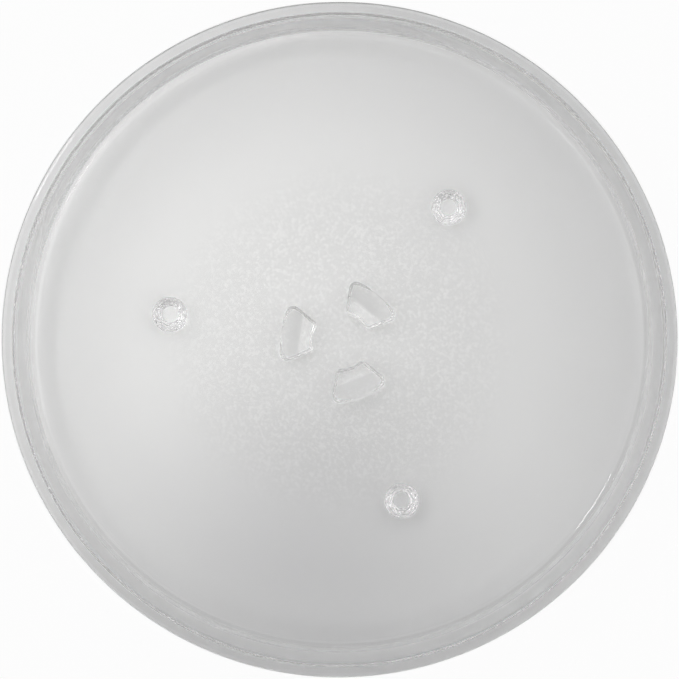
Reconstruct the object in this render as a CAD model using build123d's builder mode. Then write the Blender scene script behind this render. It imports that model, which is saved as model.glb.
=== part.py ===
"""Turntable plate of a microwave oven: one piece of pressed clear glass.

A shallow round dish with a flat floor, a sloping wall and a lip round the rim. On the
underside, three drive lugs stand round the centre and take the oven's coupler between
them, and three blunt conical feet stand further out, each in line with a lug.

Millimetres, +Z up. The plate stands on its feet, with the ends of the feet at z = 0 and
its axis on Z. One lug and one foot lie on +Y.
"""

import os
from math import radians, tan

from build123d import *

# Dish: the round body
PLATE_DIAMETER = 285.75  # across the lip, 11.25 in
FLOOR_THICKNESS = 5.5
DISH_DEPTH = 9.0  # top of the floor to the top of the lip
WALL_RUN = 7.9  # how far the inside of the wall leans out over its height
WALL_BACK_ANGLE = 64.0  # degrees from level, the outside of the wall
FLOOR_CORNER_RADIUS = 2.2  # inside, floor to wall
HEEL_RADIUS = 1.2  # outside, underside to wall
LIP_WIDTH = 5.8  # across the top of the lip, from the dish to the edge
LIP_OVERHANG = 4.2  # how far the lip stands out past the outside of the wall
LIP_EDGE_RADIUS = 2.1  # one round from the top of the lip to its underside
LIP_DRAFT = 26.0  # degrees, slope of the lip's underside up to its edge

# Feet: blunt cones that keep the plate inside the roller ring
FOOT_COUNT = 3
FOOT_HEIGHT = 6.0
FOOT_CIRCLE_RADIUS = 73.7
FOOT_BASE_DIAMETER = 14.8
FOOT_END_DIAMETER = 7.2

# Drive lugs: a flat end next to the socket, then a ramp that falls away from the centre
LUG_COUNT = 3
LUG_END_CLEARANCE = 0.5  # the lugs end this far above the ends of the feet
LUG_SOCKET_RADIUS = 12.5  # inner walls of the lugs, at the underside
LUG_FLAT_LENGTH = 4.8  # socket wall to the straight ridge where the ramp starts
LUG_RAMP_LENGTH = 8.2
LUG_TOE_HEIGHT = 0.6  # what is left of the lug at the outer end of the ramp
LUG_RIDGE_RADIUS = 4.0  # soft round between the flat end and the ramp
LUG_INNER_SPAN = 52.0  # degrees round the axis, at the socket
LUG_OUTER_SPAN = 57.5  # degrees round the axis, at the toe
LUG_DRAFT = 5.0  # degrees, on every wall
LUG_TOE_CORNER_RADIUS = 3.0  # outer corners, seen from below
LUG_SOCKET_CORNER_RADIUS = 1.5  # inner corners, seen from below
LUG_EDGE_RADIUS = 0.5  # round the end and the ramp

# Direction of the first lug and the first foot, in degrees anticlockwise from +X
FIRST_ANGLE = 90.0

# Two heights closer than this are the same
SAME = 0.001

# Heights that follow from the sizes above
UNDERSIDE_Z = FOOT_HEIGHT
FLOOR_Z = UNDERSIDE_Z + FLOOR_THICKNESS
RIM_Z = FLOOR_Z + DISH_DEPTH
LUG_HEIGHT = UNDERSIDE_Z - LUG_END_CLEARANCE
LUG_END_Z = LUG_END_CLEARANCE

# Radii of the lip: its top and its underside would meet at a sharp tip, which is rounded
PLATE_RADIUS = PLATE_DIAMETER / 2
LIP_SLOPE = radians(LIP_DRAFT)
LIP_TIP_X = PLATE_RADIUS - LIP_EDGE_RADIUS + LIP_EDGE_RADIUS / tan(LIP_SLOPE / 2)
LIP_ROOT_X = PLATE_RADIUS - LIP_OVERHANG
LIP_ROOT_Z = RIM_Z - (LIP_TIP_X - LIP_ROOT_X) * tan(LIP_SLOPE)

# Radii of the wall, whose outside is steeper than its inside
LIP_INNER_X = PLATE_RADIUS - LIP_WIDTH
FLOOR_RADIUS = LIP_INNER_X - WALL_RUN
HEEL_X = LIP_ROOT_X - (LIP_ROOT_Z - UNDERSIDE_Z) / tan(radians(WALL_BACK_ANGLE))

# Distances of the lugs from the axis
LUG_RIDGE_X = LUG_SOCKET_RADIUS + LUG_FLAT_LENGTH
LUG_TOE_RADIUS = LUG_RIDGE_X + LUG_RAMP_LENGTH

# One lug, pointing along +X: a block with drafted walls, cut off by the slope of its ramp
with BuildPart() as lug:
    with BuildSketch(Plane.XY.offset(UNDERSIDE_Z)) as lug_outline:
        with BuildLine():
            socket_wall = CenterArc((0, 0), LUG_SOCKET_RADIUS, -LUG_INNER_SPAN / 2, LUG_INNER_SPAN)
            toe = CenterArc((0, 0), LUG_TOE_RADIUS, -LUG_OUTER_SPAN / 2, LUG_OUTER_SPAN)
            Line(socket_wall @ 0, toe @ 0)
            Line(socket_wall @ 1, toe @ 1)
        make_face()
        toe_corners = lug_outline.vertices().sort_by_distance((0, 0))[2:]
        fillet(toe_corners, LUG_TOE_CORNER_RADIUS)
        socket_corners = lug_outline.vertices().sort_by_distance((0, 0))[:2]
        fillet(socket_corners, LUG_SOCKET_CORNER_RADIUS)
    extrude(amount=-LUG_HEIGHT, taper=LUG_DRAFT)
    ramp = Plane(
        origin=(LUG_RIDGE_X, 0, LUG_END_Z),
        x_dir=(0, 1, 0),
        z_dir=(LUG_HEIGHT - LUG_TOE_HEIGHT, 0, -LUG_RAMP_LENGTH),
    )
    split(bisect_by=ramp, keep=Keep.BOTTOM)
    fillet(lug.edges().filter_by(Axis.Y), LUG_RIDGE_RADIUS)
    low_edges = lug.edges().filter_by(lambda e: e.bounding_box().max.Z < UNDERSIDE_Z - SAME)
    fillet(low_edges - low_edges.filter_by(Axis.Y), LUG_EDGE_RADIUS)

# One foot, on the axis: a blunt cone
with BuildPart() as foot:
    with BuildSketch(Plane.XZ):
        with BuildLine():
            Polyline(
                (0, UNDERSIDE_Z),
                (FOOT_BASE_DIAMETER / 2, UNDERSIDE_Z),
                (FOOT_END_DIAMETER / 2, 0),
                (0, 0),
                close=True,
            )
        make_face()
    revolve(axis=Axis.Z)

# The plate: the dish turned from its section, with the lugs and the feet pressed onto it
with BuildPart() as plate:
    with BuildSketch(Plane.XZ) as section:
        heel = (HEEL_X, UNDERSIDE_Z)
        lip_root = (LIP_ROOT_X, LIP_ROOT_Z)
        lip_tip = (LIP_TIP_X, RIM_Z)
        lip_inner = (LIP_INNER_X, RIM_Z)
        floor_corner = (FLOOR_RADIUS, FLOOR_Z)
        with BuildLine():
            Polyline(
                (0, UNDERSIDE_Z),
                heel,
                lip_root,
                lip_tip,
                lip_inner,
                floor_corner,
                (0, FLOOR_Z),
                close=True,
            )
        make_face()
        for corner, radius in (
            (heel, HEEL_RADIUS),
            (lip_tip, LIP_EDGE_RADIUS),
            (floor_corner, FLOOR_CORNER_RADIUS),
        ):
            fillet(section.vertices().sort_by_distance(corner)[0], radius)
    revolve(axis=Axis.Z)
    with PolarLocations(0, LUG_COUNT, start_angle=FIRST_ANGLE):
        add(lug.part)
    with PolarLocations(FOOT_CIRCLE_RADIUS, FOOT_COUNT, start_angle=FIRST_ANGLE):
        add(foot.part)

plate.part.label = "glass_plate"

os.makedirs("parts", exist_ok=True)
export_step(plate.part, "parts/glass_plate.step")
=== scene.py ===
"""Turntable plate of a microwave oven, pressed in clear glass, on a pale studio floor.

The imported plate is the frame. Its one node is replaced by a finer mesh of the same section,
which also has the small rounds of pressed glass, because clear glass shows every facet.
Sizes are in millimetres until a mesh is finished, and the finished mesh is in metres.
"""

import logging
import math
from collections.abc import Sequence
from dataclasses import dataclass, field
from enum import Enum
from typing import Any

import bmesh
import bpy
from bmesh.types import BMesh, BMFace, BMVert
from mathutils import Matrix, Vector, noise


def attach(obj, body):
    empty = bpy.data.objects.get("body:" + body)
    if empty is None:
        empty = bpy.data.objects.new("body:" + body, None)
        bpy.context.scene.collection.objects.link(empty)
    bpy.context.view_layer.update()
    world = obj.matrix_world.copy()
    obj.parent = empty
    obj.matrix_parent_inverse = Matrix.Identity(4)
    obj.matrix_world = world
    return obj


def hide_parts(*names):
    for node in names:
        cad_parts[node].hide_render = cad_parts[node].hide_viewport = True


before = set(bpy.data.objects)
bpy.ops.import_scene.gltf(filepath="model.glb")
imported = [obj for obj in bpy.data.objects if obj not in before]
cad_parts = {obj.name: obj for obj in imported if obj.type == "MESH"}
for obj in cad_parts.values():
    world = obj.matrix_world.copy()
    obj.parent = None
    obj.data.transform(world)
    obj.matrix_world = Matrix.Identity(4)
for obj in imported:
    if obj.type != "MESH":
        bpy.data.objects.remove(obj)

log = logging.getLogger("turntable_plate")

Colour = tuple[float, float, float, float]

MM = 0.001
TURN = 2.0 * math.pi
AXIS_X = Vector((1.0, 0.0, 0.0))
AXIS_Z = Vector((0.0, 0.0, 1.0))
ORIGIN = Vector((0.0, 0.0, 0.0))

# Vertices closer than this are one
MERGE = 1e-3

# What the dish, the feet and the lugs share
UNDERSIDE = 6.0
FIRST_ANGLE = 90.0
LUG_COUNT = 3


def linear(colour: str) -> Colour:
    """Turns an sRGB hex colour to linear.

    Args:
        colour: Six hex digits.

    Returns:
        Red, green and blue from 0 to 1, and an alpha of 1.
    """
    parts = [int(colour[i:i + 2], 16) / 255.0 for i in (0, 2, 4)]
    red, green, blue = (
        p / 12.92 if p <= 0.04045 else ((p + 0.055) / 1.055) ** 2.4 for p in parts
    )
    return red, green, blue, 1.0


def add_node(
    tree: bpy.types.NodeTree,
    kind: str,
    settings: dict[str, Any] | None = None,
    inputs: dict[str | int, Any] | None = None,
) -> bpy.types.Node:
    """Adds a node with its settings and links.

    Args:
        tree: The node tree.
        kind: The node's type name.
        settings: Properties of the node.
        inputs: A value or an output socket for each named or numbered input.

    Returns:
        The node.
    """
    node = tree.nodes.new(kind)
    for name, value in (settings or {}).items():
        setattr(node, name, value)
    for name, value in (inputs or {}).items():
        if isinstance(value, bpy.types.NodeSocket):
            tree.links.new(value, node.inputs[name])
        else:
            node.inputs[name].default_value = value
    return node


class Curve(Enum):
    """How a value changes while another crosses a span."""

    STRAIGHT = "LINEAR"
    EASED = "SMOOTHSTEP"


class Blend(Enum):
    """How one tone is laid over another."""

    MIX = "MIX"
    MULTIPLY = "MULTIPLY"


def fade(
    tree: bpy.types.NodeTree,
    value: bpy.types.NodeSocket,
    start: float,
    end: float,
    low: float = 0.0,
    high: float = 1.0,
    curve: Curve = Curve.EASED,
) -> bpy.types.NodeSocket:
    """Changes from one value to another while an input crosses a span.

    Args:
        tree: The node tree.
        value: The input.
        start: Where the span starts.
        end: Where the span ends.
        low: The value before the span.
        high: The value after it.
        curve: How it changes between them.

    Returns:
        The socket that gives the result.
    """
    node = add_node(
        tree,
        "ShaderNodeMapRange",
        {"interpolation_type": curve.value},
        {"Value": value, "From Min": start, "From Max": end, "To Min": low, "To Max": high},
    )
    return node.outputs["Result"]


def reckon(
    tree: bpy.types.NodeTree, operation: str, *values: bpy.types.NodeSocket | float
) -> bpy.types.NodeSocket:
    """Works out a sum, a product or the like.

    Args:
        tree: The node tree.
        operation: The operation's name.
        values: The numbers, or the sockets that give them.

    Returns:
        The socket that gives the result.
    """
    node = add_node(tree, "ShaderNodeMath", {"operation": operation}, dict(enumerate(values)))
    return node.outputs["Value"]


def mix_tones(
    tree: bpy.types.NodeTree,
    share: bpy.types.NodeSocket | float,
    first: bpy.types.NodeSocket | Colour,
    second: bpy.types.NodeSocket | Colour,
    blend: Blend = Blend.MIX,
) -> bpy.types.NodeSocket:
    """Lays one tone over another.

    Args:
        tree: The node tree.
        share: How much of the second tone shows.
        first: The tone below.
        second: The tone that is laid over it.
        blend: How it is laid over.

    Returns:
        The socket that gives the mixed tone.
    """
    node = add_node(
        tree,
        "ShaderNodeMix",
        {"data_type": "RGBA", "blend_type": blend.value},
        {"Factor": share, "A": first, "B": second},
    )
    return node.outputs["Result"]


class Plane2D(Enum):
    """The plane that a pen draws in, by the axis that its left turns go round."""

    UPRIGHT = (0.0, -1.0, 0.0)
    LEVEL = (0.0, 0.0, 1.0)


@dataclass(frozen=True)
class Corner:
    """A corner of a section: its place, and the radius that rounds it."""

    x: float
    z: float
    radius: float = 0.0

    @property
    def place(self) -> Vector:
        """The corner as a point in the upright plane."""
        return Vector((self.x, 0.0, self.z))


class Pen:
    """Draws one chain of edges in a mesh, stretch by stretch.

    Attributes:
        mesh: The mesh that holds the chain.
        tip: The vertex at the chain's free end.
        axis: The axis that a left turn goes round.
    """

    def __init__(self, mesh: BMesh, start: Vector, plane: Plane2D) -> None:
        """Puts the pen down.

        Args:
            mesh: The mesh to draw in.
            start: Where the chain starts.
            plane: The plane that the chain lies in.
        """
        self.mesh = mesh
        self.tip = mesh.verts.new(start)
        self.axis = Vector(plane.value)

    def line(self, end: Vector, steps: int = 1) -> None:
        """Draws a straight stretch.

        Args:
            end: Where it ends.
            steps: How many edges it has.
        """
        stride = (end - self.tip.co) / steps
        for _ in range(steps):
            drawn = bmesh.ops.extrude_vert_indiv(self.mesh, verts=[self.tip])
            self.tip = drawn["verts"][0]
            bmesh.ops.translate(self.mesh, verts=[self.tip], vec=stride)

    def arc(self, centre: Vector, angle: float, step: float) -> None:
        """Draws a round stretch.

        Args:
            centre: The centre of the round.
            angle: How far it turns, to the left if positive.
            step: The largest turn of one edge.
        """
        steps = max(1, math.ceil(abs(angle) / step))
        drawn = bmesh.ops.spin(
            self.mesh, geom=[self.tip], cent=centre, axis=self.axis, angle=angle, steps=steps
        )
        self.tip = next(v for v in drawn["geom_last"] if isinstance(v, BMVert))

    def rounded(self, corners: Sequence[Corner], step: float, support: float) -> None:
        """Draws a run of straight stretches with rounds at its corners.

        Each round has a short edge before and after it, so that smooth shading stays
        true on the straight stretches.

        Args:
            corners: The corners after the pen's place, the last one its end.
            step: The largest turn of one edge in a round.
            support: The length of the short edges.
        """
        for corner, after in zip(corners, corners[1:]):
            ahead = (corner.place - self.tip.co).normalized()
            onward = (after.place - corner.place).normalized()
            side = self.axis.cross(ahead)
            turn = math.atan2(side.dot(onward), ahead.dot(onward))
            reach = corner.radius * math.tan(abs(turn) / 2.0)
            start = corner.place - ahead * reach
            centre = start + side * math.copysign(corner.radius, turn)
            self.line(start - ahead * support)
            self.line(start)
            self.arc(centre, turn, step)
            self.line(self.tip.co + onward * support)
        self.line(corners[-1].place)


def smooth(share: float) -> float:
    """Eases a share between 0 and 1 in and out."""
    held = max(0.0, min(1.0, share))
    return held * held * (3.0 - 2.0 * held)


def join(whole: BMesh, part: BMesh, place: Matrix) -> None:
    """Adds a part's mesh to a whole, at a place, and frees the part.

    Args:
        whole: The mesh that grows.
        part: The mesh that is added.
        place: Where it is put.
    """
    part.transform(place)
    carrier = bpy.data.meshes.new("carrier")
    part.to_mesh(carrier)
    part.free()
    whole.from_mesh(carrier)
    bpy.data.meshes.remove(carrier)


def spin_round(mesh: BMesh, steps: int) -> None:
    """Turns all of a mesh's chain into a closed shell round Z.

    Args:
        mesh: The mesh that holds the chain.
        steps: How many steps go round.
    """
    bmesh.ops.spin(
        mesh,
        geom=mesh.verts[:] + mesh.edges[:],
        cent=ORIGIN,
        axis=AXIS_Z,
        angle=TURN,
        steps=steps,
        use_merge=True,
    )
    bmesh.ops.remove_doubles(mesh, verts=mesh.verts[:], dist=MERGE)


def turns_round(count: int, first_angle: float) -> list[Matrix]:
    """Gives equal turns round the axis.

    Args:
        count: How many there are.
        first_angle: The first turn, in degrees from +X.

    Returns:
        The turns as matrices.
    """
    first = math.radians(first_angle)
    return [Matrix.Rotation(first + TURN * i / count, 4, "Z") for i in range(count)]


@dataclass
class Dish:
    """The round body: floor, wall and lip, as one section turned round the axis."""

    radius: float = 142.875
    underside: float = UNDERSIDE
    floor_thickness: float = 5.5
    depth: float = 9.0
    wall_run: float = 7.9
    wall_back_angle: float = 64.0
    floor_corner_radius: float = 2.2
    heel_radius: float = 1.2
    lip_width: float = 5.8
    lip_overhang: float = 4.2
    lip_edge_radius: float = 2.1
    lip_draft: float = 26.0
    lip_inner_radius: float = 0.8
    lip_root_radius: float = 1.5
    open_radius: float = 95.0
    round_step: float = math.radians(5.0)
    support: float = 0.2
    steps: int = 480

    @property
    def floor(self) -> float:
        """Height of the floor's top."""
        return self.underside + self.floor_thickness

    @property
    def rim(self) -> float:
        """Height of the lip's top."""
        return self.floor + self.depth

    def section(self) -> list[Corner]:
        """Works out the corners of the section from the floor's middle to the underside.

        Returns:
            The corners in order, the first on the axis.
        """
        draft = math.radians(self.lip_draft)
        edge = self.lip_edge_radius
        tip_x = self.radius - edge + edge / math.tan(draft / 2.0)
        root_x = self.radius - self.lip_overhang
        root_z = self.rim - (tip_x - root_x) * math.tan(draft)
        back = math.radians(self.wall_back_angle)
        heel_x = root_x - (root_z - self.underside) / math.tan(back)
        inner_x = self.radius - self.lip_width
        return [
            Corner(0.0, self.floor),
            Corner(inner_x - self.wall_run, self.floor, self.floor_corner_radius),
            Corner(inner_x, self.rim, self.lip_inner_radius),
            Corner(tip_x, self.rim, edge),
            Corner(root_x, root_z, self.lip_root_radius),
            Corner(heel_x, self.underside, self.heel_radius),
            Corner(self.open_radius, self.underside),
        ]

    def shell(self) -> BMesh:
        """Turns the section into a shell that is open in the middle of its underside.

        Returns:
            The shell's mesh.
        """
        mesh = bmesh.new()
        first, *others = self.section()
        pen = Pen(mesh, first.place, Plane2D.UPRIGHT)
        pen.rounded(others, self.round_step, self.support)
        spin_round(mesh, self.steps)
        return mesh


@dataclass
class Feet:
    """Three blunt cones that keep the plate inside the roller ring."""

    count: int = 3
    height: float = UNDERSIDE
    circle_radius: float = 73.7
    base_diameter: float = 14.8
    end_diameter: float = 7.2
    end_radius: float = 0.8
    root_radius: float = 0.8
    collar: float = 2.0
    first_angle: float = FIRST_ANGLE
    round_step: float = math.radians(8.0)
    support: float = 0.1
    flank_steps: int = 40
    steps: int = 160
    mark_rows: float = 2.5
    mark_count: int = 12
    mark_depth: float = 0.42
    mark_wander: float = 3.0
    mark_wave: float = 0.8
    mark_rough: float = 0.8
    mark_set: float = 1.4
    mark_ends: float = 8.0
    grain: float = 1.8
    grain_shift: float = 31.7

    def shell(self, number: int) -> BMesh:
        """Turns one foot, open where it meets the underside.

        Args:
            number: Which foot it is, which sets its grain.

        Returns:
            The foot's mesh, with its axis on Z.
        """
        mesh = bmesh.new()
        pen = Pen(mesh, ORIGIN, Plane2D.UPRIGHT)
        corners = [
            Corner(self.end_diameter / 2.0, 0.0, self.end_radius),
            Corner(self.base_diameter / 2.0, self.height, self.root_radius),
            Corner(self.base_diameter / 2.0 + self.collar, self.height),
        ]
        pen.rounded(corners, self.round_step, self.support)
        flank = max(mesh.edges, key=lambda e: abs(e.verts[0].co.z - e.verts[1].co.z))
        bmesh.ops.subdivide_edges(mesh, edges=[flank], cuts=self.flank_steps)
        spin_round(mesh, self.steps)
        bmesh.ops.recalc_face_normals(mesh, faces=mesh.faces[:])
        self.tool_marks(mesh, number)
        return mesh

    def tool_marks(self, mesh: BMesh, number: int) -> None:
        """Leaves rows of short, uneven tool marks on a foot's flank.

        Args:
            mesh: The foot's mesh.
            number: Which foot it is.
        """
        low = self.end_radius / 2.0
        high = self.height - self.root_radius / 4.0
        mesh.normal_update()
        moves: list[tuple[BMVert, Vector]] = []
        for vert in mesh.verts:
            height = vert.co.z
            if not low < height < high:
                continue
            share = (height - low) / (high - low)
            ends = min(1.0, self.mark_ends * share, self.mark_ends * (1.0 - share))
            rough = noise.noise(vert.co / self.grain + AXIS_Z * self.grain_shift * number)
            row = TURN * self.mark_rows * share
            wave = math.sin(self.mark_count * math.atan2(vert.co.y, vert.co.x))
            mark = math.sin(row + self.mark_wander * rough + self.mark_wave * wave)
            cut = (mark + self.mark_rough * rough - self.mark_set) / (1.0 + self.mark_set)
            moves.append((vert, vert.normal * self.mark_depth * ends * cut))
        for vert, move in moves:
            vert.co += move

    def places(self) -> list[Matrix]:
        """Gives the places of the feet on their circle."""
        out = Matrix.Translation(AXIS_X * self.circle_radius)
        return [turn @ out for turn in turns_round(self.count, self.first_angle)]


@dataclass
class DriveLugs:
    """Three lugs round the socket that the oven's coupler turns.

    A lug is the outline of its root drawn in ring by ring. Each ring then takes its height
    from the wall's profile and from the ramp, and the ramp runs out softly at the toe.
    """

    count: int = LUG_COUNT
    underside: float = UNDERSIDE
    end_height: float = 0.5
    socket_radius: float = 12.5
    flat_length: float = 4.8
    ramp_length: float = 8.2
    toe_height: float = 0.6
    ridge_radius: float = 4.0
    inner_span: float = 52.0
    outer_span: float = 57.5
    draft: float = 5.0
    toe_corner_radius: float = 3.0
    socket_corner_radius: float = 1.5
    edge_radius: float = 0.9
    root_radius: float = 0.9
    toe_run_out: float = 0.9
    toe_blend: float = 3.0
    collar_scale: float = 1.3
    first_angle: float = FIRST_ANGLE
    toe_step: float = math.radians(1.2)
    socket_step: float = math.radians(1.0)
    round_step: float = math.radians(6.0)
    side_steps: int = 24
    profile_steps: int = 8
    support: float = 0.12
    strip: float = 0.2
    on_plane: float = 1e-4
    uneven: float = 0.24
    uneven_pitch: float = 1.5
    uneven_shift: float = 17.3
    uneven_from_root: float = 4.0
    uneven_seed: int = 1795823346

    @property
    def ridge(self) -> float:
        """Distance of the ridge, where the ramp starts, from the axis."""
        return self.socket_radius + self.flat_length

    @property
    def toe(self) -> float:
        """Distance of the toe from the axis."""
        return self.ridge + self.ramp_length

    @property
    def height(self) -> float:
        """How far a lug stands out of the underside."""
        return self.underside - self.end_height

    @property
    def bend(self) -> float:
        """Angle between the flat end and the ramp."""
        return math.atan2(self.height - self.toe_height, self.ramp_length)

    @property
    def bend_start(self) -> float:
        """Distance from the axis at which the round of the ridge starts."""
        return self.ridge - self.ridge_radius * math.tan(self.bend / 2.0)

    @property
    def bend_run(self) -> float:
        """Length of the round of the ridge along the lug."""
        return self.ridge_radius * math.sin(self.bend)

    def height_at(self, x: float) -> float:
        """Gives a lug's height at a distance from the axis.

        Args:
            x: The distance along the lug.

        Returns:
            The full height on the flat end, and less on the ridge and the ramp.
        """
        run = x - self.bend_start
        if run <= 0.0:
            return self.height
        if run < self.bend_run:
            return self.height - self.ridge_radius + math.sqrt(self.ridge_radius ** 2 - run ** 2)
        return max(0.0, self.height - (x - self.ridge) * math.tan(self.bend))

    @property
    def near(self) -> Vector:
        """The sharp corner between the socket wall and the left side."""
        turn = math.radians(self.inner_span / 2.0)
        return Vector((math.cos(turn), math.sin(turn), 0.0)) * self.socket_radius

    @property
    def along(self) -> Vector:
        """The direction of the left side, away from the axis."""
        turn = math.radians(self.outer_span / 2.0)
        far = Vector((math.cos(turn), math.sin(turn), 0.0)) * self.toe
        return (far - self.near).normalized()

    @property
    def inward(self) -> Vector:
        """The direction from the left side into the lug."""
        return self.along.cross(AXIS_Z)

    def rings(self) -> list[tuple[float, float]]:
        """Works out the wall's profile from its root to the end.

        Returns:
            How far each ring lies inside the first, and its share of the lug's height.
        """
        turn = math.radians(90.0 - self.draft)
        turns = [turn * i / self.profile_steps for i in range(self.profile_steps + 1)]
        reach = math.tan(turn / 2.0)
        root = self.root_radius
        edge = self.edge_radius
        end = self.root_reach + self.height / math.tan(turn) + edge * reach
        low = [(root * math.sin(a), root * (1.0 - math.cos(a))) for a in turns]
        high = [
            (end - edge * math.sin(a), self.height - edge * (1.0 - math.cos(a)))
            for a in reversed(turns)
        ]
        rings = [*low, *high, (end + self.support, self.height)]
        return [(inside, rise / self.height) for inside, rise in rings]

    @property
    def root_reach(self) -> float:
        """How far the root's round reaches out past the walls."""
        return self.root_radius * math.tan(math.radians(90.0 - self.draft) / 2.0)

    def outline(self, mesh: BMesh) -> None:
        """Draws the outline of a lug's root on the underside, with the lug along +X.

        Args:
            mesh: The empty mesh to draw in.
        """
        lift = AXIS_Z * self.underside
        grow = self.root_reach
        toe = self.toe + grow + self.toe_run_out
        socket = self.socket_radius - grow

        def centre(reach: float, radius: float) -> tuple[Vector, float]:
            """Finds the centre of a corner's round, and its place along the side."""
            base = self.near + self.inward * (radius - grow)
            lean = self.along.dot(base)
            run = math.sqrt(lean * lean - base.length_squared + reach * reach) - lean
            return base + self.along * run, run

        toe_radius = self.toe_corner_radius + grow
        socket_radius = self.socket_corner_radius + grow
        toe_centre, _ = centre(toe - toe_radius, toe_radius)
        socket_centre, socket_run = centre(socket + socket_radius, socket_radius)
        toe_angle = math.atan2(toe_centre.y, toe_centre.x)
        socket_angle = math.atan2(socket_centre.y, socket_centre.x)
        side_angle = math.atan2(-self.inward.y, -self.inward.x)
        side_end = self.near - self.inward * grow + self.along * socket_run
        pen = Pen(mesh, AXIS_X * toe + lift, Plane2D.LEVEL)
        pen.arc(lift, toe_angle, self.toe_step)
        pen.arc(toe_centre + lift, side_angle - toe_angle, self.round_step)
        pen.line(side_end + lift, self.side_steps)
        pen.arc(socket_centre + lift, socket_angle + math.pi - side_angle, self.round_step)
        pen.arc(lift, -socket_angle, self.socket_step)
        bmesh.ops.mirror(
            mesh, geom=mesh.verts[:] + mesh.edges[:], matrix=Matrix(), merge_dist=MERGE, axis="Y"
        )
        bmesh.ops.remove_doubles(mesh, verts=mesh.verts[:], dist=MERGE)

    def shell(self, number: int) -> BMesh:
        """Makes one lug along +X, open where its collar meets the underside.

        Args:
            number: Which lug it is, which sets how its walls are uneven.

        Returns:
            The lug's mesh.
        """
        mesh = bmesh.new()
        self.outline(mesh)
        root = mesh.edges[:]
        collar = bmesh.ops.extrude_edge_only(mesh, edges=root)
        rim = [v for v in collar["geom"] if isinstance(v, BMVert)]
        middle = AXIS_X * (self.socket_radius + self.toe) / 2.0
        bmesh.ops.scale(
            mesh,
            verts=rim,
            vec=(self.collar_scale, self.collar_scale, 1.0),
            space=Matrix.Translation(-middle),
        )
        end = bmesh.ops.contextual_create(mesh, geom=root)["faces"]
        rings = self.rings()
        for (before, _), (inside, _) in zip(rings, rings[1:]):
            step = inside - before
            bmesh.ops.inset_region(
                mesh, faces=end, thickness=step, use_even_offset=True, use_boundary=True
            )
            bmesh.ops.translate(mesh, verts=end[0].verts[:], vec=-AXIS_Z * step)
        self.cut_strips(mesh, end[0])
        noise.seed_set(self.uneven_seed)
        for vert in mesh.verts:
            self.shape(vert, rings, number)
        return mesh

    def shape(self, vert: BMVert, rings: Sequence[tuple[float, float]], number: int) -> None:
        """Gives a vertex its height, and sways it a little.

        Args:
            vert: A vertex that lies as deep as its ring lies inside the outline.
            rings: The wall's profile.
            number: Which lug it is.
        """
        inside = self.underside - vert.co.z
        share = min(rings, key=lambda ring: abs(ring[0] - inside))[1]
        whole = min(1.0, inside / rings[-1][0])
        from_side = Vector((vert.co.x, abs(vert.co.y), 0.0)) - self.near
        blend = max(
            smooth(self.inward.dot(from_side) / self.toe_blend),
            smooth((vert.co.x - self.ridge) / self.ramp_length),
        )
        if vert.co.x > self.ridge:
            share += (smooth(whole) - share) * blend
        shift = AXIS_Z * self.uneven_shift * number
        sway = noise.noise_vector(vert.co / self.uneven_pitch + shift)
        sway.z = 0.0
        calm = smooth((vert.co.x - self.bend_start) / self.bend_run)
        amount = min(1.0, self.uneven_from_root * share) * (1.0 - calm)
        vert.co += sway * self.uneven * amount
        vert.co.z = self.underside - share * self.height_at(vert.co.x)

    def cut_strips(self, mesh: BMesh, end: BMFace) -> None:
        """Cuts the flat end across, where the round of the ridge will be.

        Args:
            mesh: The lug's mesh.
            end: The flat end.
        """
        cuts = math.ceil(self.bend_run / self.strip)
        geom = [end, *end.edges, *end.verts]
        for i in range(-1, cuts + 2):
            place = self.bend_start + self.bend_run * i / cuts
            geom = bmesh.ops.bisect_plane(
                mesh,
                geom=geom,
                dist=self.on_plane,
                plane_co=AXIS_X * place,
                plane_no=AXIS_X,
            )["geom"]

    def places(self) -> list[Matrix]:
        """Gives the places of the lugs round the axis."""
        return turns_round(self.count, self.first_angle)


@dataclass(frozen=True)
class PlatePoint:
    """The sockets that say where on the plate a point is.

    Attributes:
        place: The place itself.
        away: Its distance from the axis.
        along: Its distance from the axis along the nearest lug.
        height: Its height.
    """

    place: bpy.types.NodeSocket
    away: bpy.types.NodeSocket
    along: bpy.types.NodeSocket
    height: bpy.types.NodeSocket


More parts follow.
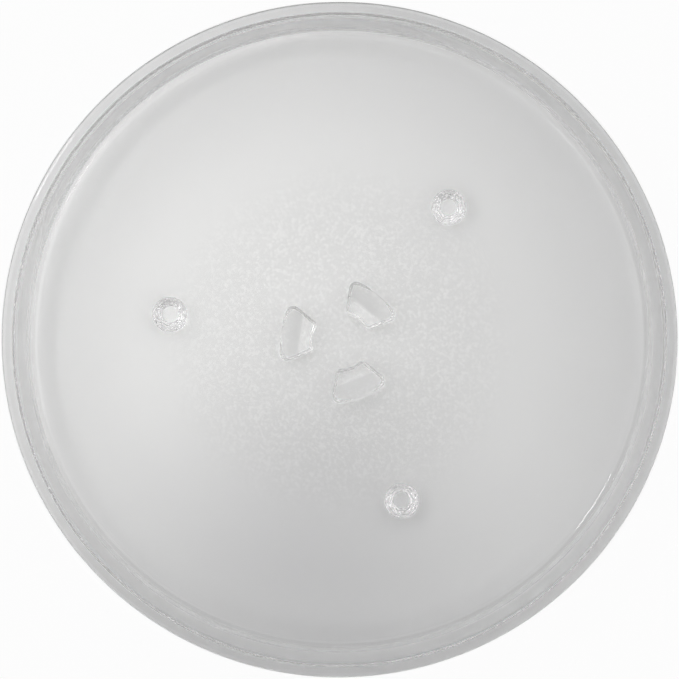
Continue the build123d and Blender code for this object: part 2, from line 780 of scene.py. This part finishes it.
@dataclass(frozen=True)
class PressedGlass:
    """Clear soda-lime glass pressed in an iron mould and fire-polished.

    It is bright and almost colourless face on, and grey in its slopes and edges. On the ramps
    of the lugs its colour carries painted shade, darkest by the ridge and fading towards the toe.
    The mould leaves a light, fine grain in the middle of the underside, and a satin on the outer
    part of it, on the lip and on the ramps of the lugs. The grain's darker specks are partly the
    pits' own grey and partly painted shade for the mottle they cast on the floor. The plunger's
    side is clear, apart from the lip's inner edge.
    """

    tint: str = "FBFBFB"
    # Darker specks of the grain: partly the pits' own grey, partly painted shade for the mottle the
    # grain casts on the floor
    grain_speck_and_painted_shade_tint: str = "EAEAEA"
    # Painted shade on the ramps of the lugs, darkest by the ridge
    ramp_painted_shade_tint: str = "E4E4E4"
    ior: float = 1.52
    clear_roughness: float = 0.04
    satin_roughness: float = 0.24
    satin_inner: float = 85.0
    satin_outer: float = 118.0
    lip_roughness: float = 0.14
    lip_inner: float = 136.0
    lip_outer: float = 141.0
    crease_roughness: float = 0.2
    crease_radius: float = 137.1
    crease_width: float = 1.8
    ramp_roughness: float = 0.4
    ramp_inner: float = 16.2
    ramp_outer: float = 18.4
    # The ramps' painted shade fades out towards the toe, down to this share
    ramp_toe: float = 23.5
    ramp_painted_shade_toe_share: float = 0.1
    first_lug: float = FIRST_ANGLE
    lug_count: int = LUG_COUNT
    lugs_outer: float = 30.0
    lugs_root: float = 5.9
    mould_flat: float = 8.75
    mould_rise_from: float = 128.0
    mould_rise_to: float = 139.0
    mould_top: float = 19.6
    grain: float = 1.35
    grain_detail: float = 2.0
    grain_roughness: float = 0.55
    grain_height: float = 0.05
    grain_inner: float = 38.0
    grain_outer: float = 92.0
    grain_top: float = 7.0
    speck_from: float = 0.48
    speck_to: float = 0.66

    def point(self, tree: bpy.types.NodeTree) -> PlatePoint:
        """Measures where on the plate a point is.

        Args:
            tree: The glass's node tree.

        Returns:
            The sockets that give it.
        """
        place = add_node(tree, "ShaderNodeTexCoord").outputs["Object"]
        axes = add_node(tree, "ShaderNodeSeparateXYZ", inputs={"Vector": place}).outputs
        flat = add_node(tree, "ShaderNodeCombineXYZ", inputs={"X": axes["X"], "Y": axes["Y"]})
        away = add_node(
            tree, "ShaderNodeVectorMath", {"operation": "LENGTH"}, {0: flat.outputs["Vector"]}
        )
        reaches: list[bpy.types.NodeSocket] = []
        for turn in turns_round(self.lug_count, self.first_lug):
            reach = add_node(
                tree,
                "ShaderNodeVectorMath",
                {"operation": "DOT_PRODUCT"},
                {0: place, 1: turn.to_3x3() @ AXIS_X},
            )
            reaches.append(reach.outputs["Value"])
        along = reaches[0]
        for reach in reaches[1:]:
            along = reckon(tree, "MAXIMUM", along, reach)
        return PlatePoint(place, away.outputs["Value"], along, axes["Z"])

    def ramp(self, tree: bpy.types.NodeTree, point: PlatePoint) -> bpy.types.NodeSocket:
        """Finds the ramps of the lugs.

        Args:
            tree: The glass's node tree.
            point: Where on the plate a point is.

        Returns:
            The socket that gives 1 on a ramp and 0 elsewhere.
        """
        past_ridge = fade(tree, point.along, self.ramp_inner * MM, self.ramp_outer * MM)
        near_lugs = reckon(tree, "LESS_THAN", point.away, self.lugs_outer * MM)
        below_root = reckon(tree, "LESS_THAN", point.height, self.lugs_root * MM)
        on_lug = reckon(tree, "MULTIPLY", near_lugs, below_root)
        return reckon(tree, "MULTIPLY", past_ridge, on_lug)

    def roughness(
        self, tree: bpy.types.NodeTree, point: PlatePoint, ramp: bpy.types.NodeSocket
    ) -> bpy.types.NodeSocket:
        """Mixes the roughness of the mould's side and of the lip's inner edge.

        Args:
            tree: The glass's node tree.
            point: Where on the plate a point is.
            ramp: The socket that finds the ramps.

        Returns:
            The socket that gives the roughness.
        """
        parting = fade(
            tree,
            point.away,
            self.mould_rise_from * MM,
            self.mould_rise_to * MM,
            self.mould_flat * MM,
            self.mould_top * MM,
            Curve.STRAIGHT,
        )
        mould_side = reckon(tree, "LESS_THAN", point.height, parting)
        satin = fade(
            tree,
            point.away,
            self.satin_inner * MM,
            self.satin_outer * MM,
            self.clear_roughness,
            self.satin_roughness,
        )
        lip = fade(
            tree,
            point.away,
            self.lip_inner * MM,
            self.lip_outer * MM,
            0.0,
            self.lip_roughness,
        )
        outer = reckon(tree, "ADD", satin, lip)
        mould = reckon(tree, "MULTIPLY_ADD", ramp, self.ramp_roughness, outer)
        from_crease = reckon(tree, "SUBTRACT", point.away, self.crease_radius * MM)
        beside_crease = reckon(tree, "ABSOLUTE", from_crease)
        crease = fade(
            tree, beside_crease, 0.0, self.crease_width * MM, self.crease_roughness, 0.0
        )
        return reckon(tree, "MULTIPLY_ADD", mould_side, mould, crease)

    def material(self) -> bpy.types.Material:
        """Builds the glass.

        Returns:
            The material.
        """
        glass = bpy.data.materials.new("soda-lime glass, pressed and fire-polished")
        glass.use_nodes = True
        tree = glass.node_tree
        tree.nodes.clear()
        point = self.point(tree)
        ramp = self.ramp(tree, point)
        grain = add_node(
            tree,
            "ShaderNodeTexNoise",
            inputs={
                "Vector": point.place,
                "Scale": 1.0 / (self.grain * MM),
                "Detail": self.grain_detail,
                "Roughness": self.grain_roughness,
            },
        ).outputs["Fac"]
        middle = fade(
            tree, point.away, self.grain_inner * MM, self.grain_outer * MM, 1.0, 0.0
        )
        below = reckon(tree, "LESS_THAN", point.height, self.grain_top * MM)
        grained = reckon(tree, "MULTIPLY", middle, below)
        # Darker specks in the grain, partly painted shade for the mottle it casts
        ground = fade(tree, grain, self.speck_from, self.speck_to, 1.0, 0.0, Curve.STRAIGHT)
        tone = mix_tones(
            tree,
            reckon(tree, "MULTIPLY", ground, grained),
            linear(self.tint),
            linear(self.grain_speck_and_painted_shade_tint),
        )
        # Painted shade on the ramps: full by the ridge, fading towards the toe
        ramp_painted_shade_fade = fade(
            tree,
            point.along,
            self.ramp_outer * MM,
            self.ramp_toe * MM,
            1.0,
            self.ramp_painted_shade_toe_share,
        )
        shaded = mix_tones(
            tree, reckon(tree, "MULTIPLY", ramp, ramp_painted_shade_fade), tone, linear(self.ramp_painted_shade_tint)
        )
        bump = add_node(
            tree,
            "ShaderNodeBump",
            inputs={
                "Strength": grained,
                "Distance": self.grain_height * MM,
                "Height": grain,
            },
        )
        shader = add_node(
            tree,
            "ShaderNodeBsdfPrincipled",
            inputs={
                "Base Color": shaded,
                "Roughness": self.roughness(tree, point, ramp),
                "IOR": self.ior,
                "Transmission Weight": 1.0,
                "Normal": bump.outputs["Normal"],
            },
        )
        add_node(
            tree, "ShaderNodeOutputMaterial", inputs={"Surface": shader.outputs["BSDF"]}
        )
        return glass


@dataclass
class TurntablePlate:
    """The whole plate: one closed mesh of glass."""

    dish: Dish = field(default_factory=Dish)
    feet: Feet = field(default_factory=Feet)
    lugs: DriveLugs = field(default_factory=DriveLugs)
    glass: PressedGlass = field(default_factory=PressedGlass)

    def build(self) -> bpy.types.Object:
        """Joins the dish, the feet and the lugs into one closed mesh.

        Returns:
            The plate.
        """
        whole = bmesh.new()
        join(whole, self.dish.shell(), Matrix())
        for number, place in enumerate(self.feet.places()):
            join(whole, self.feet.shell(number), place)
        for number, place in enumerate(self.lugs.places()):
            join(whole, self.lugs.shell(number), place)
        self.close_underside(whole)
        bmesh.ops.scale(whole, verts=whole.verts[:], vec=(MM, MM, MM))
        bmesh.ops.recalc_face_normals(whole, faces=whole.faces[:])
        for face in whole.faces:
            face.smooth = True
        data = bpy.data.meshes.new("glass_plate_pressed")
        whole.to_mesh(data)
        whole.free()
        plate = bpy.data.objects.new("glass_plate_pressed", data)
        bpy.context.scene.collection.objects.link(plate)
        return plate

    def close_underside(self, whole: BMesh) -> None:
        """Fills the flat of the underside between the dish, the feet and the lugs.

        Args:
            whole: The plate's mesh.
        """
        open_edges = [e for e in whole.edges if e.is_boundary]
        bmesh.ops.triangle_fill(
            whole, edges=open_edges, use_beauty=True, use_dissolve=False, normal=-AXIS_Z
        )
        left_open = sum(1 for e in whole.edges if not e.is_manifold)
        log.info("underside closed, %d open edges left", left_open)

    def dress(self, plate: bpy.types.Object) -> None:
        """Gives the plate its glass and its place in the frame.

        Args:
            plate: The plate.
        """
        plate.data.materials.append(self.glass.material())
        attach(plate, "root")
        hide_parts("glass_plate")


@dataclass
class Studio:
    """A white floor with painted light and shade, a soft surround, a camera almost straight above.

    Places and directions are in the picture's axes. The floor's radius and the softbox's
    size and place are in metres, and the other lengths are in millimetres.
    """

    floor_radius: float = 6.0
    floor_sides: int = 96
    floor_gap: float = 0.05
    # The paper's colour in the middle of a painted pool of light, which falls off to a grey edge
    floor_colour: str = "FEFEFD"
    floor_painted_falloff_colour: str = "DADADA"
    painted_light_middle: tuple[float, float, float] = (-26.0, 8.0, 0.0)
    painted_light_fade: float = 167.0
    # A painted shadow: a soft darker spot on the floor
    shade_colour: str = "E0E0E1"
    shade_middle: tuple[float, float, float] = (-13.0, -91.0, 0.0)
    shade_fade: float = 115.0
    # Painted shade: the floor darkens from the plate's edge outwards
    outside_painted_shade_colour: str = "D0D0D0"
    outside_middle: tuple[float, float, float] = (-1.0, 2.0, 0.0)
    outside_from: float = 130.0
    outside_to: float = 147.0
    glow_seen: float = 0.96
    glow_through: float = 0.1
    dome: float = 1.485
    horizon: float = 0.35
    full_rise: float = 0.4
    opening: float = 0.15
    opening_inner: float = 11.0
    opening_outer: float = 26.0
    dark_side: tuple[float, float, float] = (0.1, -1.0, 0.0)
    dark_share: float = 0.65
    dark_from: float = 0.25
    dark_to: float = 0.85
    key_side: float = 0.12
    key_place: tuple[float, float, float] = (-0.46, 0.26, 0.52)
    key_power: float = 0.9
    camera_turn: float = 39.0
    lens: float = 100.0
    sensor: float = 36.0
    rim_height: float = 18.5
    camera_offset: tuple[float, float] = (-20.0, 40.0)
    frame_width: float = 286.42
    bounces: int = 24

    def turned(self, place: Sequence[float]) -> Vector:
        """Turns a place in the picture's axes to the plate's."""
        return Matrix.Rotation(math.radians(self.camera_turn), 3, "Z") @ Vector(place)

    def floor(self) -> None:
        """Lays the floor under the feet."""
        mesh = bmesh.new()
        bmesh.ops.create_circle(mesh, cap_ends=True, segments=self.floor_sides, radius=self.floor_radius)
        bmesh.ops.translate(mesh, verts=mesh.verts[:], vec=-AXIS_Z * self.floor_gap * MM)
        data = bpy.data.meshes.new("studio_floor")
        mesh.to_mesh(data)
        mesh.free()
        floor = bpy.data.objects.new("studio_floor", data)
        bpy.context.scene.collection.objects.link(floor)
        data.materials.append(self.paper())

    def spot(
        self,
        tree: bpy.types.NodeTree,
        middle: tuple[float, float, float],
        reach: float,
        start: float = 0.0,
    ) -> bpy.types.NodeSocket:
        """Fades from 0 in the middle of a round spot on the floor to 1 at its edge.

        Args:
            tree: The floor's node tree.
            middle: The spot's middle in the picture's axes.
            reach: The spot's radius.
            start: The radius at which the fade starts.

        Returns:
            The socket that gives the fade.
        """
        place = add_node(tree, "ShaderNodeTexCoord")
        away = add_node(
            tree,
            "ShaderNodeVectorMath",
            {"operation": "DISTANCE"},
            {0: place.outputs["Object"], 1: self.turned(middle) * MM},
        )
        return fade(tree, away.outputs["Value"], start * MM, reach * MM)

    def paper_tone_with_painted_light(self, tree: bpy.types.NodeTree) -> bpy.types.NodeSocket:
        """Mixes the tone of the paper with painted light and shade.

        A painted pool of light falls off from a bright middle, a painted shadow lies in a soft
        spot, and painted shade darkens the floor from the plate's edge outwards.

        Args:
            tree: The floor's node tree.

        Returns:
            The socket that gives the tone.
        """
        # Painted pool of light: bright in the middle, greyer towards the edge
        painted_light_pool = mix_tones(
            tree,
            self.spot(tree, self.painted_light_middle, self.painted_light_fade),
            linear(self.floor_colour),
            linear(self.floor_painted_falloff_colour),
        )
        # Painted shadow: a soft darker spot laid over the painted light
        dimmed = mix_tones(tree, 1.0, painted_light_pool, linear(self.shade_colour), Blend.MULTIPLY)
        shaded = mix_tones(
            tree, self.spot(tree, self.shade_middle, self.shade_fade), dimmed, painted_light_pool
        )
        # Painted shade on the floor round and beyond the plate's edge
        return mix_tones(
            tree,
            self.spot(tree, self.outside_middle, self.outside_to, self.outside_from),
            shaded,
            linear(self.outside_painted_shade_colour),
            Blend.MULTIPLY,
        )

    def paper(self) -> bpy.types.Material:
        """Makes matt white paper with painted light and shade, lifted towards white where it
        is looked at.

        Returns:
            The material.
        """
        paper = bpy.data.materials.new("matt white paper")
        paper.use_nodes = True
        tree = paper.node_tree
        tree.nodes.clear()
        ray = add_node(tree, "ShaderNodeLightPath").outputs
        inside = add_node(
            tree,
            "ShaderNodeMath",
            {"operation": "ADD", "use_clamp": True},
            {0: ray["Is Glossy Ray"], 1: ray["Is Transmission Ray"]},
        )
        through = reckon(tree, "MULTIPLY", inside.outputs["Value"], self.glow_through)
        share = reckon(tree, "MULTIPLY_ADD", ray["Is Camera Ray"], self.glow_seen, through)
        matt = add_node(tree, "ShaderNodeBsdfDiffuse", inputs={"Color": self.paper_tone_with_painted_light(tree)})
        white = add_node(tree, "ShaderNodeEmission", inputs={"Strength": 1.0})
        mixed = add_node(
            tree,
            "ShaderNodeMixShader",
            inputs={0: share, 1: matt.outputs["BSDF"], 2: white.outputs["Emission"]},
        )
        add_node(tree, "ShaderNodeOutputMaterial", inputs={"Surface": mixed.outputs["Shader"]})
        return paper

    def surround(self) -> None:
        """Lights the scene from a dome with an opening for the camera and a dark side."""
        world = bpy.data.worlds.new("soft surround")
        bpy.context.scene.world = world
        world.use_nodes = True
        tree = world.node_tree
        tree.nodes.clear()
        way = add_node(tree, "ShaderNodeTexCoord").outputs["Generated"]
        rise = add_node(tree, "ShaderNodeSeparateXYZ", inputs={"Vector": way}).outputs["Z"]
        rising = fade(tree, rise, 0.0, self.full_rise, self.horizon, self.dome)
        overhead = fade(
            tree,
            rise,
            math.cos(math.radians(self.opening_outer)),
            math.cos(math.radians(self.opening_inner)),
            1.0,
            self.opening,
        )
        facing = add_node(
            tree,
            "ShaderNodeVectorMath",
            {"operation": "DOT_PRODUCT"},
            {0: way, 1: self.turned(self.dark_side).normalized()},
        )
        side = fade(
            tree,
            facing.outputs["Value"],
            self.dark_from,
            self.dark_to,
            1.0,
            1.0 - self.dark_share,
        )
        open_dome = reckon(tree, "MULTIPLY", rising, overhead)
        light = add_node(
            tree,
            "ShaderNodeBackground",
            inputs={"Strength": reckon(tree, "MULTIPLY", open_dome, side)},
        )
        add_node(tree, "ShaderNodeOutputWorld", inputs={"Surface": light.outputs["Background"]})

    def key(self) -> None:
        """Hangs a softbox on the upper left of the picture."""
        data = bpy.data.lights.new("softbox", "AREA")
        data.shape = "SQUARE"
        data.size = self.key_side
        data.energy = self.key_power
        lamp = bpy.data.objects.new("softbox", data)
        place = self.turned(self.key_place)
        aim = (-place).to_track_quat("-Z", "Y")
        lamp.matrix_world = Matrix.LocRotScale(place, aim, None)
        bpy.context.scene.collection.objects.link(lamp)

    def camera(self) -> None:
        """Puts the camera almost straight above the plate, turned as the photograph is."""
        data = bpy.data.cameras.new("camera")
        data.lens = self.lens
        data.sensor_width = self.sensor
        camera = bpy.data.objects.new("camera", data)
        above = self.frame_width * self.lens / self.sensor
        right, up = self.camera_offset
        lean = 1.0 - (self.frame_width / 2.0 / above) ** 2
        camera.location = self.turned((right, up, self.rim_height + above)) * MM
        camera.rotation_euler = (
            -math.atan2(up * lean, above),
            math.atan2(right * lean, above),
            math.radians(self.camera_turn),
        )
        bpy.context.scene.collection.objects.link(camera)
        bpy.context.scene.camera = camera

    def build(self) -> None:
        """Sets up the floor, the light and the camera."""
        self.floor()
        self.surround()
        self.key()
        self.camera()
        scene = bpy.context.scene
        scene.view_settings.view_transform = "Standard"
        scene.cycles.blur_glossy = 0.0
        scene.cycles.max_bounces = self.bounces
        scene.cycles.glossy_bounces = self.bounces
        scene.cycles.transmission_bounces = self.bounces


def main() -> None:
    """Builds the plate and its studio."""
    logging.basicConfig(level=logging.INFO)
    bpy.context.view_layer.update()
    turntable = TurntablePlate()
    plate = turntable.build()
    turntable.dress(plate)
    log.info("plate: %d faces", len(plate.data.polygons))
    Studio().build()
    log.info("studio set")


if __name__ == "__main__":
    main()
